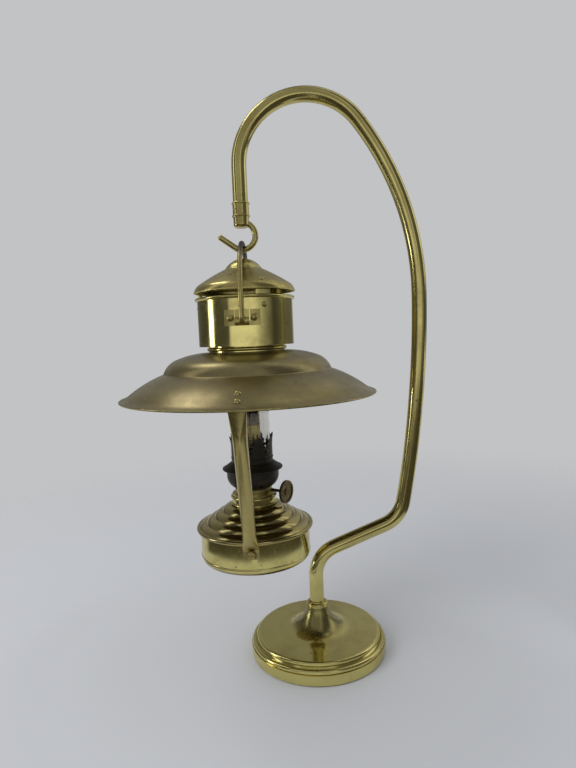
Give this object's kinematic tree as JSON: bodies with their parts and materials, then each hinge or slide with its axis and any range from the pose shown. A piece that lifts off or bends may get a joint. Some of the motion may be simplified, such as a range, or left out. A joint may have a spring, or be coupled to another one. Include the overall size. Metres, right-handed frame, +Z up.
{
  "type": "hanging oil lamp",
  "caption": "Brass oil lamp with shade, glass chimney and lift-out fount, hung by its bail from the hook of a gooseneck table stand.",
  "frame": {"origin": "centre of the base's felt underside, on the table", "axes": "+Z up along the post; the arm lies in the XZ plane and the lamp hangs on the -X side, front to -Y"},
  "size_m": [0.266, 0.2196, 0.4887],
  "materials": {
    "polished_brass": "polished",
    "tarnished_brass": "satin, tarnished",
    "blackened_brass": "sooty",
    "iron": "rough",
    "steel": "plain",
    "felt": "felt",
    "cotton": "woven",
    "clear_glass": "clear"
  },
  "bodies": {
    "stand": {"base_shell": "polished_brass", "base_weight": "iron", "base_felt": "felt", "base_washer": "steel", "base_nut": "polished_brass", "post_collar": "polished_brass", "stand_tube": "polished_brass", "hook_ferrule": "polished_brass", "hook_end_cap": "polished_brass", "hook": "polished_brass"},
    "bail": {"bail": "tarnished_brass"},
    "lamp": {"bail_ear_front": "polished_brass", "bail_ear_rear": "polished_brass", "ear_rivets": "tarnished_brass", "cap_dome": "tarnished_brass", "cap_tab_front": "polished_brass", "cap_tab_rear": "polished_brass", "cap_tab_left": "polished_brass", "cap_rivets": "polished_brass", "vent_drum": "polished_brass", "neck_collar": "polished_brass", "neck_eyelet": "polished_brass", "shade": "tarnished_brass", "strap_front": "polished_brass", "strap_rear": "polished_brass", "strap_rivets": "polished_brass", "cup_screws": "polished_brass", "cup_nuts": "polished_brass", "fount_cup": "polished_brass"},
    "fount": {"fount_body": "polished_brass", "fount_lid": "polished_brass", "fount_collar": "polished_brass", "burner_base": "polished_brass", "burner_bowl": "blackened_brass", "burner_flange": "blackened_brass", "burner_gallery": "blackened_brass", "wick_tube": "polished_brass", "draught_tube": "tarnished_brass"},
    "wick_shaft": {"spindle": "polished_brass", "star_wheel_near": "polished_brass", "star_wheel_far": "polished_brass", "wick_knob": "polished_brass"},
    "wick": {"wick": "cotton"},
    "chimney": {"chimney": "clear_glass"}
  },
  "joints": [
    {"name": "bail_swing", "type": "hinge", "parent": "stand", "child": "bail", "pos_m": [-0.0525, 0, 0.35677], "axis": [1, 0, 0], "range_deg": [-40, 40]},
    {"name": "lamp_tip", "type": "hinge", "parent": "bail", "child": "lamp", "pos_m": [-0.0525, 0, 0.295], "axis": [0, 1, 0], "range_deg": [-1, 60]},
    {"name": "fount_lift", "type": "slide", "parent": "lamp", "child": "fount", "axis": [0, 0, 1], "range_m": [0, 0.028]},
    {"name": "chimney_lift", "type": "slide", "parent": "fount", "child": "chimney", "axis": [0, 0, 1], "range_m": [0, 0.022]},
    {"name": "knob_turn", "type": "hinge", "parent": "fount", "child": "wick_shaft", "pos_m": [-0.04667, 0.00897, 0.14619], "axis": [0.8387, -0.5446, 0], "range_deg": [-65, 168]},
    {"name": "wick_rise", "type": "slide", "parent": "fount", "child": "wick", "axis": [0, 0, 1], "range_m": [-0.0101, 0.0041]}
  ],
  "couplings": [
    {"joint": "wick_rise", "follows": "knob_turn", "m_per_rad": -0.0034}
  ]
}
